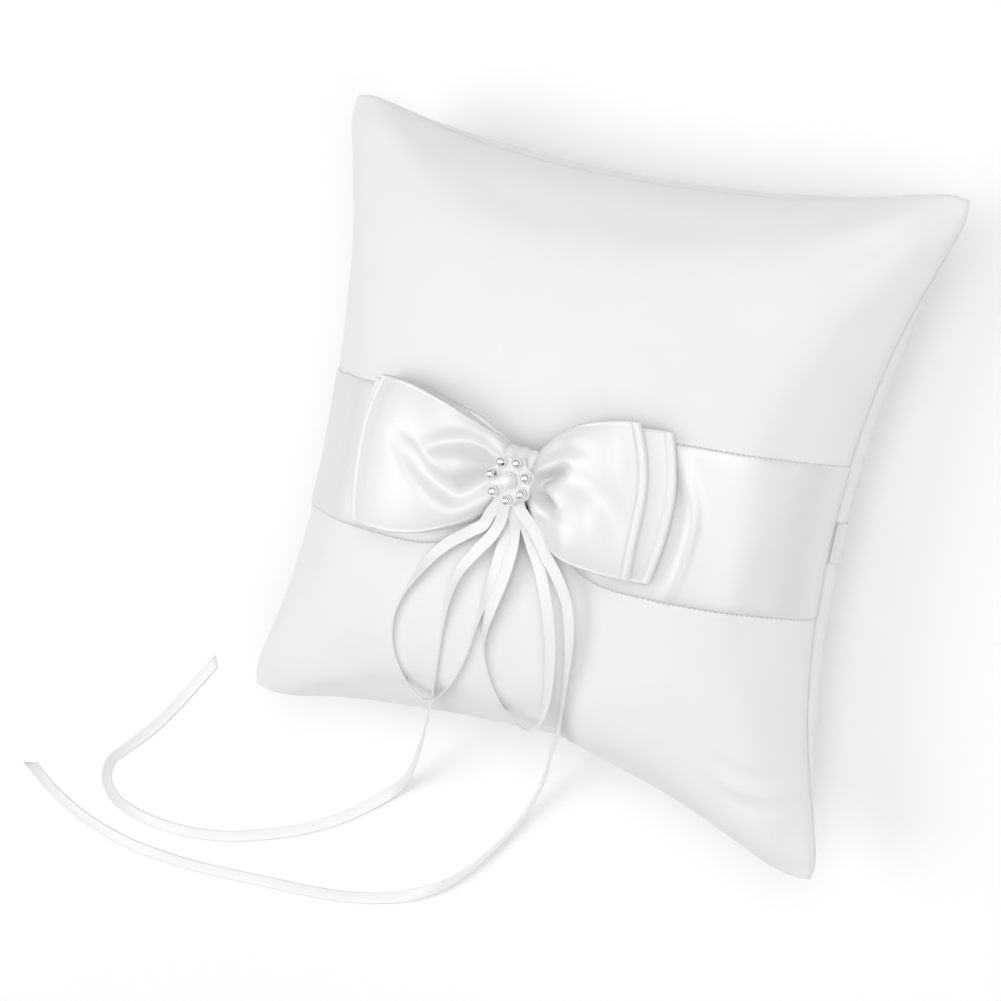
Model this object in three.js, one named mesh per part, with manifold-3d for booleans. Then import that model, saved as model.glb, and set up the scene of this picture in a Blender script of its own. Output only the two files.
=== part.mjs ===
// Ring bearer pillow: a stuffed square pillow with a wide satin band sewn across its face, a double
// satin bow tacked to the band, a narrow ribbon for tying the rings, a bead cluster over the bow's
// knot and a hand strap across the back. It lies on its back: X runs to the pillow's right, Y towards
// its top edge, and Z out of its face. Millimetres, with the origin under the middle of the pillow.

import * as THREE from 'three';
import { mergeVertices } from 'three/addons/utils/BufferGeometryUtils.js';
import Module from 'manifold-3d';

const wasm = await Module();
wasm.setup();

// Driving dimensions: the pillow
const HALF = 85; // middle to corner, along X and along Y
const SEAM_Z = 24; // height of the side seam above the surface below
const FACE_RISE = 31; // how far the face swells above the seam
const BACK_RISE = 27; // how far the back would swell below the seam, before it is flattened
const EDGE_ROUND = 0.45; // power that rounds the swell off at the seam
const PULL_IN = { left: 11, right: 13, top: 8.5, bottom: 14.5 }; // how far each edge curves in
const BOTTOM_KINK = 0.14; // where the bottom edge is drawn in the most, as a share of HALF
const DIMPLE_DEPTH = 7; // the bow's tack pulls the face in
const DIMPLE_RADIUS = 20;
const CLOTH = 0.8; // thickness of a cover panel
const GAP = 0.3; // clearance between touching pieces
const STUFFING_INSET = 2.2;

// Driving dimensions: the trim
const BOW = { x: 0, y: -1.0 }; // middle of the bow, on the face
const BAND = { width: 38, thick: 0.6, lift: 0.9, y: -4.5, slope: 0.04, reach: 0.997 };
const GATHER = { depth: 13, shift: 3, spread: 16 }; // the band drawn together under the knot
const STRAP = { width: 10, thick: 0.6, y: -1.5, reach: 0.997, groove: 1.0 };
const STRAP_ROW = -0.02; // the strap's line on the back panel's grid
const GROOVE_HALF = 0.082; // half width of its groove on that grid
const GROOVE_SIDE = 0.02; // width of the groove's sloping side
const RIBBON_THICK = 0.4;
const BOW_SLOPE = 0.06; // the bow sits a little askew
const UNDER_REACH = { left: 50, right: 38.5 }; // the larger pair of bow loops
const TOP_REACH = { left: 46.5, right: 34 }; // the shorter pair on top of it
const NECK_START = 1.3; // where a loop's gathered neck ends, beside the tack thread
const NECK_HALF = 6.2; // half width of a gathered neck
const LOOP_HALF = 18.8; // half width of a spread loop
const KNOT = { length: 9, width: 16.6, wall: 0.6, low: 51.4, high: 58.4 };
const TIE = { x: [-4.2, 5.4], y: [-12.9, -9.7], z: [51.7, 56.5] };
const NARROW_TUBE = 1.8; // diameter of the plain tube that holds the narrow ribbon's place
const TUBE_SIDES = 8;

// Driving dimensions: the bead cluster
const BEADS = 7;
const BEAD_RADIUS = 1.25;
const BEAD_RING = 4.9;
const FIRST_BEAD = THREE.MathUtils.degToRad(123); // where the first bead is, from +X
const PEARL_RADIUS = 2.1;
const SEAT_DEPTH = 0.5;
const SHANK = { radius: 2.0, low: 58.7, high: 59.3 };
const PLATE = { radius: 6.0, lobe: 0.45, low: 59.6, high: 60.8 };
const THREAD = { radius: 0.4, knot: 1.4, low: 38, high: 58.2 };

const clamp = THREE.MathUtils.clamp;
const lerp = THREE.MathUtils.lerp;
const smoothstep = THREE.MathUtils.smoothstep;

// ---- the pillow's surfaces ----

// How much of an edge's full pull-in applies at position u along the top or bottom edge.
function drawnIn(u, top) {
  if (top) return 1 - u * u;
  const span = u < BOTTOM_KINK ? 1 + BOTTOM_KINK : 1 - BOTTOM_KINK;
  return 1 - Math.abs((u - BOTTOM_KINK) / span) ** 1.35;
}

// Half length of the pillow along Y at position u, above or below its middle line.
function halfHeight(u, top, inset) {
  const pull = top ? PULL_IN.top : PULL_IN.bottom;
  return HALF - inset - pull * drawnIn(u, top);
}

// Place in plan of grid position (u, v), each from -1 to 1.
function plan(u, v, inset) {
  const side = u > 0 ? PULL_IN.right : PULL_IN.left;
  const x = u * (HALF - inset - side * (1 - v * v));
  return { x, y: v * halfHeight(u, v > 0, inset) };
}

function swell(u, v) {
  return Math.max(0, (1 - u * u) * (1 - v * v)) ** EDGE_ROUND;
}

function dimple(x, y) {
  const square = (x - BOW.x) ** 2 + (y - BOW.y) ** 2;
  return DIMPLE_DEPTH * Math.exp(-square / DIMPLE_RADIUS ** 2);
}

// The dimple fades out at the seam, so that the rim of the face stays level.
function facePoint(u, v, inset = 0) {
  const { x, y } = plan(u, v, inset);
  const rise = (FACE_RISE - inset) * swell(u, v) - dimple(x, y) * smoothstep(swell(u, v), 0, 0.5);
  return new THREE.Vector3(x, y, SEAM_Z + GAP / 2 + rise);
}

// How far the back is held off the surface below it: nothing, or the depth of the strap's groove.
function grooveFloor(v) {
  const out = Math.abs(v - STRAP_ROW) - GROOVE_HALF;
  return STRAP.groove * clamp(1 - out / GROOVE_SIDE, 0, 1);
}

function backPoint(u, v, inset = 0, floor = grooveFloor(v)) {
  const { x, y } = plan(u, v, inset);
  const drop = SEAM_Z - GAP / 2 - (BACK_RISE - inset) * swell(u, v);
  return new THREE.Vector3(x, y, Math.max(floor + inset, drop));
}

// Grid positions from -1 to 1, closer together near the seam where the cloth turns down.
function gridLine(share) {
  return 0.45 * share + 0.55 * Math.sin((share * Math.PI) / 2);
}

function gridLines(count) {
  return Array.from({ length: count + 1 }, (_, i) => gridLine((2 * i) / count - 1));
}

// Face point above plan height y on grid column u, and the face's outward normal there.
function faceAt(u, y) {
  const v = y / halfHeight(u, y > 0, 0);
  return surfaceWithNormal((a, b) => facePoint(a, b), u, v, 1);
}

function backAt(u, y) {
  const v = y / halfHeight(u, y > 0, 0);
  return surfaceWithNormal((a, b) => backPoint(a, b, 0, STRAP.groove), u, v, -1);
}

function surfaceWithNormal(surface, u, v, sign) {
  const step = 0.004;
  const point = surface(u, v);
  const alongU = surface(u + step, v).sub(surface(u - step, v));
  const alongV = surface(u, v + step).sub(surface(u, v - step));
  return { point, normal: alongU.cross(alongV).normalize().multiplyScalar(sign) };
}

// ---- solids ----

// A closed solid between two surfaces over one grid. The first surface is on the side that its own
// normal, along the columns crossed with along the rows, points to.
function gridSolid(columns, rows, outer, inner) {
  const positions = [];
  const faces = [];
  const wide = columns.length;
  const tall = rows.length;
  for (const surface of [outer, inner]) {
    for (const row of rows) {
      for (const column of columns) positions.push(...surface(column, row).toArray());
    }
  }
  const at = (i, j, layer) => layer * wide * tall + j * wide + i;
  const quad = (a, b, c, d) => faces.push(a, b, c, a, c, d);
  for (let j = 0; j < tall - 1; j += 1) {
    for (let i = 0; i < wide - 1; i += 1) {
      quad(at(i, j, 0), at(i + 1, j, 0), at(i + 1, j + 1, 0), at(i, j + 1, 0));
      quad(at(i, j, 1), at(i, j + 1, 1), at(i + 1, j + 1, 1), at(i + 1, j, 1));
    }
  }
  for (let i = 0; i < wide - 1; i += 1) {
    quad(at(i, 0, 1), at(i + 1, 0, 1), at(i + 1, 0, 0), at(i, 0, 0));
    quad(at(i, tall - 1, 0), at(i + 1, tall - 1, 0), at(i + 1, tall - 1, 1), at(i, tall - 1, 1));
  }
  for (let j = 0; j < tall - 1; j += 1) {
    quad(at(0, j, 0), at(0, j + 1, 0), at(0, j + 1, 1), at(0, j, 1));
    quad(at(wide - 1, j, 1), at(wide - 1, j + 1, 1), at(wide - 1, j + 1, 0), at(wide - 1, j, 0));
  }
  const geometry = new THREE.BufferGeometry();
  geometry.setAttribute('position', new THREE.Float32BufferAttribute(positions, 3));
  geometry.setIndex(faces);
  return geometry;
}

function evenSteps(from, to, count) {
  return Array.from({ length: count + 1 }, (_, i) => lerp(from, to, i / count));
}

function toManifold(geometry) {
  const bare = new THREE.BufferGeometry();
  bare.setAttribute('position', geometry.getAttribute('position').clone());
  if (geometry.index) bare.setIndex(geometry.index.clone());
  const merged = mergeVertices(bare, 1e-4);
  const triangles = [];
  for (let i = 0; i < merged.index.count; i += 3) {
    const [a, b, c] = merged.index.array.slice(i, i + 3);
    if (a !== b && b !== c && c !== a) triangles.push(a, b, c);
  }
  const vertProperties = Float32Array.from(merged.getAttribute('position').array);
  const triVerts = Uint32Array.from(triangles);
  return new wasm.Manifold(new wasm.Mesh({ numProp: 3, vertProperties, triVerts }));
}

function cut(geometry, cutters) {
  let solid = toManifold(geometry);
  for (const cutter of cutters) solid = solid.subtract(toManifold(cutter));
  const mesh = solid.getMesh();
  const result = new THREE.BufferGeometry();
  result.setAttribute('position', new THREE.Float32BufferAttribute(mesh.vertProperties, 3));
  result.setIndex(Array.from(mesh.triVerts));
  return result;
}

// ---- the cover and what it holds ----

function facePanel() {
  const lines = gridLines(20);
  const outer = (u, v) => facePoint(u, v);
  const inner = (u, v) => facePoint(u, v, CLOTH);
  return cut(gridSolid(lines, lines, outer, inner), [tackThread(GAP)]);
}

// The back panel's rows also follow the edges of the strap's groove.
function backPanel() {
  const columns = gridLines(20);
  const edge = GROOVE_HALF + GROOVE_SIDE;
  const groove = [-edge, -GROOVE_HALF, GROOVE_HALF, edge].map((offset) => STRAP_ROW + offset);
  const rows = gridLines(20).filter((v) => Math.abs(v - STRAP_ROW) > edge + GROOVE_SIDE / 2);
  rows.push(...groove);
  rows.sort((a, b) => a - b);
  return gridSolid(columns, rows, (u, v) => backPoint(u, v, CLOTH), (u, v) => backPoint(u, v));
}

function stuffing() {
  const lines = gridLines(16);
  const top = (u, v) => facePoint(u, v, STUFFING_INSET);
  const bottom = (u, v) => backPoint(u, v, STUFFING_INSET, STRAP.groove);
  return cut(gridSolid(lines, lines, top, bottom), [tackThread(GAP)]);
}

// ---- band and strap ----

// A flat strip that follows one side of the pillow from seam to seam at a fixed distance.
function strip(surfaceAt, centre, widthAt, lift, thick, reach, steps, across) {
  const columns = evenSteps(-1, 1, steps).map((share) => reach * gridLine(share));
  const offsetPoint = (u, w, distance) => {
    const y = centre(u) + (w * widthAt(u)) / 2;
    const { point, normal } = surfaceAt(u, y);
    return point.addScaledVector(normal, distance);
  };
  const far = (u, w) => offsetPoint(u, w, lift + thick);
  const near = (u, w) => offsetPoint(u, w, lift);
  return { columns, rows: evenSteps(-1, 1, across), far, near };
}

function satinBand() {
  const gather = (u) => Math.exp(-((u * HALF / GATHER.spread) ** 2));
  const centre = (u) => BAND.y + BAND.slope * u * HALF + GATHER.shift * gather(u);
  const width = (u) => BAND.width - 2 * GATHER.depth * gather(u);
  const shape = strip(faceAt, centre, width, BAND.lift, BAND.thick, BAND.reach, 28, 6);
  return cut(gridSolid(shape.columns, shape.rows, shape.far, shape.near), [tackThread(GAP)]);
}

// The strap's outer side faces down, so its near side is the grid's first surface.
function handStrap() {
  const width = () => STRAP.width;
  const shape = strip(backAt, () => STRAP.y, width, GAP, STRAP.thick, STRAP.reach, 22, 2);
  return gridSolid(shape.columns, shape.rows, shape.near, shape.far);
}

// ---- the bow ----

const CENTRE_Z = facePoint(0, 0).z;

// Height that the bow's loops are measured from: level beside the knot, then the face itself.
function bowBase(x, y) {
  const side = x > 0 ? PULL_IN.right : PULL_IN.left;
  const u = x / (HALF - side * 0.97);
  const face = faceAt(u, y).point.z;
  return lerp(CENTRE_Z, face, smoothstep(Math.abs(x), 5, 14));
}

function hump(out, reach) {
  return Math.sin(Math.PI * clamp((out - 5) / (reach - 5), 0, 1));
}

const SPREAD = { low: 7, high: 18 };

function underLow(out) {
  return lerp(4.3, 2.5, smoothstep(out, SPREAD.low, SPREAD.high));
}

function underHigh(out, reach) {
  return lerp(5.4, 3.7 + 1.2 * hump(out, reach), smoothstep(out, SPREAD.low, SPREAD.high));
}

function topLow(out, underReach) {
  return underHigh(out, underReach) + 0.9;
}

function topHigh(out, reach) {
  return lerp(8.8, 6.9 + 3.6 * hump(out, reach), smoothstep(out, 5, 14));
}

// One loop of wide ribbon: out along the lower layer, round the fold and back along the upper one.
function bowLoop(side, reach, low, high) {
  const fold = 0.9; // how far the fold is rounded
  const middle = (t, w) => {
    const turn = clamp((t - 0.44) / 0.12, 0, 1);
    const angle = (turn - 0.5) * Math.PI;
    const run = t < 0.5 ? t / 0.44 : (1 - t) / 0.44;
    const straight = lerp(NECK_START, reach - fold, Math.min(1, run));
    const out = straight + fold * Math.cos(angle);
    const half = lerp(NECK_HALF, LOOP_HALF, smoothstep(out, 2, 24));
    const x = BOW.x + side * out;
    const y = BOW.y + BOW_SLOPE * x + w * half;
    const share = (Math.sin(angle) + 1) / 2;
    const z = bowBase(x, y) + lerp(low(out), high(out), share);
    return new THREE.Vector3(x, y, z);
  };
  const layer = (sign) => (t, w) => {
    const step = 0.002;
    const along = middle(Math.min(1, t + step), w).sub(middle(Math.max(0, t - step), w));
    const across = middle(t, w + step).sub(middle(t, w - step));
    const normal = along.cross(across).normalize();
    return middle(t, w).addScaledVector(normal, (sign * RIBBON_THICK) / 2);
  };
  const ends = evenSteps(0.47, 0.53, 2);
  const stations = [...evenSteps(0, 0.44, 9), ...ends, ...evenSteps(0.56, 1, 9)];
  return gridSolid(stations, evenSteps(-1, 1, 4), layer(1), layer(-1));
}

// The short ribbon wrapped round the necks of all four loops.
function bowKnot() {
  const height = KNOT.high - KNOT.low;
  const outline = roundedRectangle(new THREE.Shape(), height, KNOT.width, 1.6);
  const inside = roundedRectangle(
    new THREE.Path(), height - 2 * KNOT.wall, KNOT.width - 2 * KNOT.wall, 0.7);
  outline.holes.push(inside);
  const settings = { depth: KNOT.length, bevelEnabled: false, curveSegments: 4 };
  const geometry = new THREE.ExtrudeGeometry(outline, settings);
  geometry.translate(0, 0, -KNOT.length / 2);
  geometry.rotateY(Math.PI / 2);
  geometry.translate(BOW.x, BOW.y, (KNOT.high + KNOT.low) / 2);
  return cut(geometry, [tackThread(GAP)]);
}

function roundedRectangle(path, width, height, radius) {
  const x = width / 2;
  const y = height / 2;
  path.moveTo(-x + radius, -y);
  path.lineTo(x - radius, -y);
  path.absarc(x - radius, -y + radius, radius, -Math.PI / 2, 0);
  path.lineTo(x, y - radius);
  path.absarc(x - radius, y - radius, radius, 0, Math.PI / 2);
  path.lineTo(-x + radius, y);
  path.absarc(-x + radius, y - radius, radius, Math.PI / 2, Math.PI);
  path.lineTo(-x, -y + radius);
  path.absarc(-x + radius, -y + radius, radius, Math.PI, Math.PI * 1.5);
  return path;
}

// ---- the narrow ribbon that ties the rings ----

// Each stretch is a list of places, in millimetres, from the tie outwards.
const LOOP_LEFT = [
  [-3.2, -13.6, 52.9], [-6.2, -15.2, 53.2], [-10.5, -17.8, 54.3], [-16.5, -21.8, 55.0],
  [-21.0, -27.0, 54.8], [-25.0, -33.0, 53.8], [-28.8, -39.5, 52.2], [-31.4, -47.0, 50.0],
  [-31.6, -54.5, 47.4], [-29.4, -61.0, 45.0], [-25.6, -66.0, 43.0], [-21.0, -67.6, 42.8],
  [-16.2, -64.0, 44.2], [-11.8, -57.5, 46.8], [-8.4, -49.5, 49.8], [-6.4, -41.5, 52.2],
  [-4.6, -33.5, 54.0], [-3.0, -26.0, 54.8], [-1.6, -18.8, 54.0], [-0.8, -13.6, 52.9],
];
const LOOP_RIGHT = [
  [1.6, -13.6, 52.9], [1.3, -18.5, 54.0], [0.6, -26.5, 55.0], [-1.6, -34.5, 54.0],
  [-3.4, -41.5, 52.4], [-3.8, -48.0, 50.2], [-2.2, -55.0, 47.4], [0.8, -61.5, 44.2],
  [4.4, -66.0, 41.4], [8.2, -67.0, 40.8], [12.0, -63.6, 42.6], [14.4, -57.0, 46.0],
  [15.6, -48.0, 50.0], [15.4, -38.5, 53.0], [13.4, -29.5, 54.8], [9.8, -21.8, 54.6],
  [6.2, -16.8, 53.4], [4.0, -13.6, 52.9],
];
const TAIL_LEFT = [
  [-1.8, -13.6, 55.2], [-4.6, -17.2, 55.3], [-8.8, -22.4, 55.4], [-12.2, -28.4, 55.0],
  [-14.8, -36.0, 53.4], [-16.6, -45.0, 50.6], [-17.8, -54.5, 47.4], [-19.4, -63.0, 43.4],
  [-21.6, -70.6, 38.6], [-24.6, -77.0, 32.0], [-28.0, -82.6, 25.0], [-32.0, -88.6, 18.0],
  [-36.6, -97.2, 10.6], [-41.2, -104.8, 5.0], [-46.4, -111.0, 1.8], [-54.0, -118.2, 1.2],
  [-63.4, -125.8, 1.2], [-75.6, -133.4, 1.2], [-89.4, -140.0, 1.2], [-103.8, -145.4, 1.2],
  [-118.6, -148.6, 1.2], [-132.8, -149.4, 1.2], [-143.4, -147.6, 1.2], [-149.6, -142.4, 1.2],
  [-149.8, -135.4, 1.2], [-144.8, -129.4, 1.2], [-137.4, -121.6, 1.2], [-130.0, -112.0, 1.2],
  [-123.0, -101.6, 1.2], [-117.0, -92.4, 1.2],
];
const TAIL_RIGHT = [
  [3.0, -13.6, 55.2], [6.4, -15.8, 55.2], [10.6, -18.2, 55.8], [15.0, -21.6, 56.0],
  [18.4, -27.2, 55.2], [20.0, -34.0, 53.8], [20.2, -41.0, 51.8], [19.6, -48.0, 49.4],
  [18.6, -55.0, 46.2], [17.2, -62.0, 42.0], [15.0, -68.4, 36.2], [12.4, -72.6, 30.0],
  [9.6, -75.8, 23.6], [6.8, -81.4, 16.6], [3.6, -88.4, 10.0], [0.2, -96.6, 5.0],
  [-6.0, -108.8, 1.8], [-14.2, -121.4, 1.2], [-22.8, -131.4, 1.2], [-32.4, -138.6, 1.2],
  [-41.6, -143.4, 1.2], [-54.0, -147.8, 1.2], [-68.0, -151.0, 1.2], [-86.6, -154.2, 1.2],
  [-108.6, -157.8, 1.2], [-124.6, -159.4, 1.2], [-140.6, -159.6, 1.2], [-157.4, -157.2, 1.2],
  [-170.6, -152.6, 1.2], [-180.6, -147.0, 1.2],
];

function narrowRibbon(route, steps) {
  const path = new THREE.CatmullRomCurve3(route.map((place) => new THREE.Vector3(...place)));
  const section = new THREE.Shape(Array.from({ length: TUBE_SIDES }, (_, i) => {
    const angle = (2 * Math.PI * i) / TUBE_SIDES;
    return new THREE.Vector2(Math.cos(angle), Math.sin(angle)).multiplyScalar(NARROW_TUBE / 2);
  }));
  return new THREE.ExtrudeGeometry(section, { steps, extrudePath: path, bevelEnabled: false });
}

// The narrow ribbon's own small knot, just below the bow's knot.
function ribbonTie() {
  const size = [TIE.x, TIE.y, TIE.z].map(([low, high]) => high - low);
  const middle = [TIE.x, TIE.y, TIE.z].map(([low, high]) => (high + low) / 2);
  const outline = roundedRectangle(new THREE.Shape(), size[0], size[2], 1.2);
  const settings = { depth: size[1], bevelEnabled: false, curveSegments: 4 };
  const geometry = new THREE.ExtrudeGeometry(outline, settings);
  geometry.translate(0, 0, -size[1] / 2);
  geometry.rotateX(Math.PI / 2);
  return geometry.translate(...middle);
}

// ---- the bead cluster and the thread that tacks the bow down ----

// The thread runs from the top of the bow's knot, through knot, band and face panel, to a small
// knot of its own in the stuffing. With room added, it is also the hole that it passes through.
function tackThread(room) {
  const radius = THREAD.radius + room;
  const ball = THREAD.knot + room;
  const centre = THREAD.low + THREAD.knot;
  const profile = [new THREE.Vector2(0, centre - ball)];
  for (const degrees of [-50, -10, 30, 60]) {
    const angle = THREE.MathUtils.degToRad(degrees);
    profile.push(new THREE.Vector2(ball * Math.cos(angle), centre + ball * Math.sin(angle)));
  }
  const top = room ? KNOT.high + 2 : THREAD.high;
  profile.push(new THREE.Vector2(radius, centre + 1.6 * ball), new THREE.Vector2(radius, top));
  profile.push(new THREE.Vector2(0, top));
  const geometry = new THREE.LatheGeometry(profile, 8);
  return geometry.rotateX(Math.PI / 2).translate(BOW.x, BOW.y, 0);
}

function clusterShank() {
  const geometry = new THREE.CylinderGeometry(
    SHANK.radius, SHANK.radius, SHANK.high - SHANK.low, 16);
  geometry.rotateX(Math.PI / 2);
  return geometry.translate(BOW.x, BOW.y, (SHANK.high + SHANK.low) / 2);
}

function beadPlace(index) {
  const angle = FIRST_BEAD + (2 * Math.PI * index) / BEADS;
  const z = PLATE.high - SEAT_DEPTH + GAP + BEAD_RADIUS;
  return new THREE.Vector3(
    BOW.x + BEAD_RING * Math.cos(angle), BOW.y + BEAD_RING * Math.sin(angle), z);
}

const PEARL_PLACE = new THREE.Vector3(
  BOW.x, BOW.y, PLATE.high - SEAT_DEPTH + GAP + PEARL_RADIUS);

// A scalloped disc, with a shallow seat for the pearl and for each bead.
function clusterPlate() {
  const points = Array.from({ length: BEADS * 8 }, (_, i) => {
    const angle = (2 * Math.PI * i) / (BEADS * 8);
    const radius = PLATE.radius + PLATE.lobe * Math.cos(BEADS * (angle - FIRST_BEAD));
    return new THREE.Vector2(radius * Math.cos(angle), radius * Math.sin(angle));
  });
  const settings = { depth: PLATE.high - PLATE.low, bevelEnabled: false };
  const disc = new THREE.ExtrudeGeometry(new THREE.Shape(points), settings);
  disc.translate(BOW.x, BOW.y, PLATE.low);
  const seats = Array.from({ length: BEADS }, (_, i) => ball(BEAD_RADIUS + GAP, beadPlace(i)));
  seats.push(ball(PEARL_RADIUS + GAP, PEARL_PLACE));
  return cut(disc, seats);
}

function ball(radius, place) {
  return new THREE.SphereGeometry(radius, 12, 8).translate(place.x, place.y, place.z);
}

// ---- materials ----

const cloth = (color, roughness) => new THREE.MeshStandardMaterial({ color, roughness });
const coverSatin = () => cloth(0xf3f2f0, 0.6);
const ribbonSatin = () => cloth(0xfafafa, 0.35);
const fibre = () => cloth(0xf7f6f2, 0.95);
const threadWhite = () => cloth(0xf2f2ee, 0.7);
const pearlCoat = () => cloth(0xf6f2ea, 0.2);
const plateWhite = () => cloth(0xf0efec, 0.35);
const silver = () => new THREE.MeshStandardMaterial(
  { color: 0xd8d8da, roughness: 0.15, metalness: 1 });

// ---- the assembly ----

const pillow = new THREE.Group();

function add(name, geometry, material) {
  const mesh = new THREE.Mesh(geometry, material);
  mesh.name = name;
  pillow.add(mesh);
  return mesh;
}

add('front_panel', facePanel(), coverSatin());
add('back_panel', backPanel(), coverSatin());
add('stuffing', stuffing(), fibre());
add('satin_band', satinBand(), ribbonSatin());
add('hand_strap', handStrap(), ribbonSatin());

for (const [name, side] of [['left', -1], ['right', 1]]) {
  const under = UNDER_REACH[name];
  const top = TOP_REACH[name];
  const underLoop = bowLoop(side, under, underLow, (out) => underHigh(out, under));
  const topLoop = bowLoop(side, top, (out) => topLow(out, under), (out) => topHigh(out, top));
  add(`bow_under_loop_${name}`, underLoop, ribbonSatin());
  add(`bow_top_loop_${name}`, topLoop, ribbonSatin());
}
add('bow_knot', bowKnot(), ribbonSatin());

add('ribbon_tie', ribbonTie(), ribbonSatin());
add('ribbon_loop_left', narrowRibbon(LOOP_LEFT, 13), ribbonSatin());
add('ribbon_loop_right', narrowRibbon(LOOP_RIGHT, 13), ribbonSatin());
add('ribbon_tail_left', narrowRibbon(TAIL_LEFT, 27), ribbonSatin());
add('ribbon_tail_right', narrowRibbon(TAIL_RIGHT, 27), ribbonSatin());

add('tack_thread', tackThread(0), threadWhite());
add('cluster_shank', clusterShank(), plateWhite());
add('cluster_plate', clusterPlate(), plateWhite());

const pearl = add('centre_pearl', new THREE.SphereGeometry(PEARL_RADIUS, 12, 10), pearlCoat());
pearl.position.copy(PEARL_PLACE);
for (let i = 0; i < BEADS; i += 1) {
  const bead = add(`bead_${i + 1}`, new THREE.SphereGeometry(BEAD_RADIUS, 9, 7), silver());
  bead.position.copy(beadPlace(i));
}

export default pillow;
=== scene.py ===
"""Ring bearer pillow: the finished look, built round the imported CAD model. Metres, +Z up."""
import math

import bpy
import numpy as np
from mathutils import Matrix, Vector
from mathutils.bvhtree import BVHTree


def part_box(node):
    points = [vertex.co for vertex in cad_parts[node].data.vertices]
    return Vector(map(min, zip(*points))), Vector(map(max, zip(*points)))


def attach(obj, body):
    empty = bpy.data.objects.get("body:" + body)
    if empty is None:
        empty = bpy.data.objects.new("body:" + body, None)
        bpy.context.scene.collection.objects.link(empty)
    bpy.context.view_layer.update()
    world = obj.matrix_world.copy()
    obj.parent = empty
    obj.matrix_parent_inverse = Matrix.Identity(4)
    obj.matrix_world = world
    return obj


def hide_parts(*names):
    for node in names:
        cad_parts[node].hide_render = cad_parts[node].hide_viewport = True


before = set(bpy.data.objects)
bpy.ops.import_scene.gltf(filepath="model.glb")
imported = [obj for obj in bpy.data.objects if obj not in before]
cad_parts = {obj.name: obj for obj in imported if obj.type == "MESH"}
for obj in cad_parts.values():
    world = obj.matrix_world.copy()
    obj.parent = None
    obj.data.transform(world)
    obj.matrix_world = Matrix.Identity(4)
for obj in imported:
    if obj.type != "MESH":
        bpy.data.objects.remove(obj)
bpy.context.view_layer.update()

MM = 0.001

# ---- driving dimensions, as in the CAD model ----

PANEL_LOW, PANEL_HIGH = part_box("front_panel")
HALF = PANEL_HIGH[0]  # middle to corner
SEAM_Z = PANEL_LOW[2] - 0.15 * MM  # height of the side seam
FACE_RISE = 31 * MM
BACK_RISE = 27 * MM
EDGE_ROUND = 0.45
PULL_LEFT, PULL_RIGHT, PULL_TOP, PULL_BOTTOM = 11 * MM, 13 * MM, 8.5 * MM, 14.5 * MM
BOTTOM_KINK = 0.14
BACK_BELLY = 0.03  # how far the back swells past the seam, as a share of its half width
DIMPLE_DEPTH, DIMPLE_RADIUS = 7 * MM, 20 * MM
BOW_Y = -1.0 * MM  # the bow's middle is at x = 0
BOW_SLOPE = 0.06
BAND_WIDTH, BAND_Y, BAND_SLOPE = 38 * MM, -4.5 * MM, 0.04
GATHER_DEPTH, GATHER_SHIFT, GATHER_SPREAD = 13 * MM, 3 * MM, 16 * MM  # under the knot
STRAP_WIDTH, STRAP_Y = 10 * MM, -1.5 * MM

# ---- dimensions of the finished cloth and ribbon ----

FLARE = 0.016  # how far the edges spread shortly before the corners
CORNER = 0.013  # how far the corners are rounded off
CORNER_ZONE = 0.5, 0.92  # |u v| where a corner begins and where it is complete
SEAM_PULL = 1.1 * MM  # how far the thread draws the seams in, away from the corners
CORNER_PULL = 0.3 * MM  # and at the corners
FLOOR_GAP = 0.2 * MM  # height of the cover's lowest points above the floor
COVER_THICKNESS = 0.4 * MM
NARROW_WIDTH = 3.2 * MM
BOW_THICKNESS = 0.3 * MM
STRAP_THICKNESS = 0.25 * MM
THIN_RIBBON = 0.22 * MM  # thickness of the band, the narrow ribbons and their tie


# ---- small helpers ----

def smooth(x, low, high):
    """Rises softly from 0 at low to 1 at high."""
    t = np.clip((x - low) / (high - low), 0, 1)
    return t * t * (3 - 2 * t)


def blend(low, high, share):
    return low + (high - low) * share


# ---- camera: it looks down on the face from its upper right ----

LENS, SENSOR = 62.35, 36  # millimetres
CAMERA_RIGHT = Vector((0.871, 0.188, -0.454))
CAMERA_BACK = Vector((0.427, 0.170, 0.888))  # from the pillow towards the camera
CAMERA_PLACE = Vector((0.1793, 0.0655, 0.4126 + SEAM_Z))


def make_camera():
    data = bpy.data.cameras.new("camera")
    data.lens = LENS
    data.sensor_width = SENSOR
    camera = bpy.data.objects.new("camera", data)
    right = CAMERA_RIGHT.normalized()
    back = CAMERA_BACK.normalized()
    up = back.cross(right).normalized()
    right = up.cross(back)
    turn = Matrix((right, up, back)).transposed().to_4x4()
    camera.matrix_world = Matrix.Translation(CAMERA_PLACE) @ turn
    bpy.context.collection.objects.link(camera)
    bpy.context.scene.camera = camera


# ---- light and floor ----

LIGHTS = [  # (name, place, diameter, power)
    ("left", (-0.68, -0.2, 0.74), 0.8, 3.2),
    ("right", (0.69, -0.17, 0.74), 0.8, 1.5),
    ("front", (0.32, 0.38, 1.14), 1.1, 5.1),
]
LIGHT_AIM = Vector((0, 0, 0.03))
SKY_HORIZON, SKY_OVERHEAD = 0.26, 0.56  # brightness of the sky
OVERHEAD_FROM = 0.8  # height on the unit sphere from which the sky is at its brightest
FLOOR_RADIUS = 2.5


def area_light(name, place, size, power):
    data = bpy.data.lights.new(name, "AREA")
    data.shape = "DISK"
    data.size = size
    data.energy = power
    light = bpy.data.objects.new(name, data)
    light.location = place
    light.rotation_euler = (Vector(place) - LIGHT_AIM).to_track_quat("Z", "Y").to_euler()
    bpy.context.collection.objects.link(light)


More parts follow.
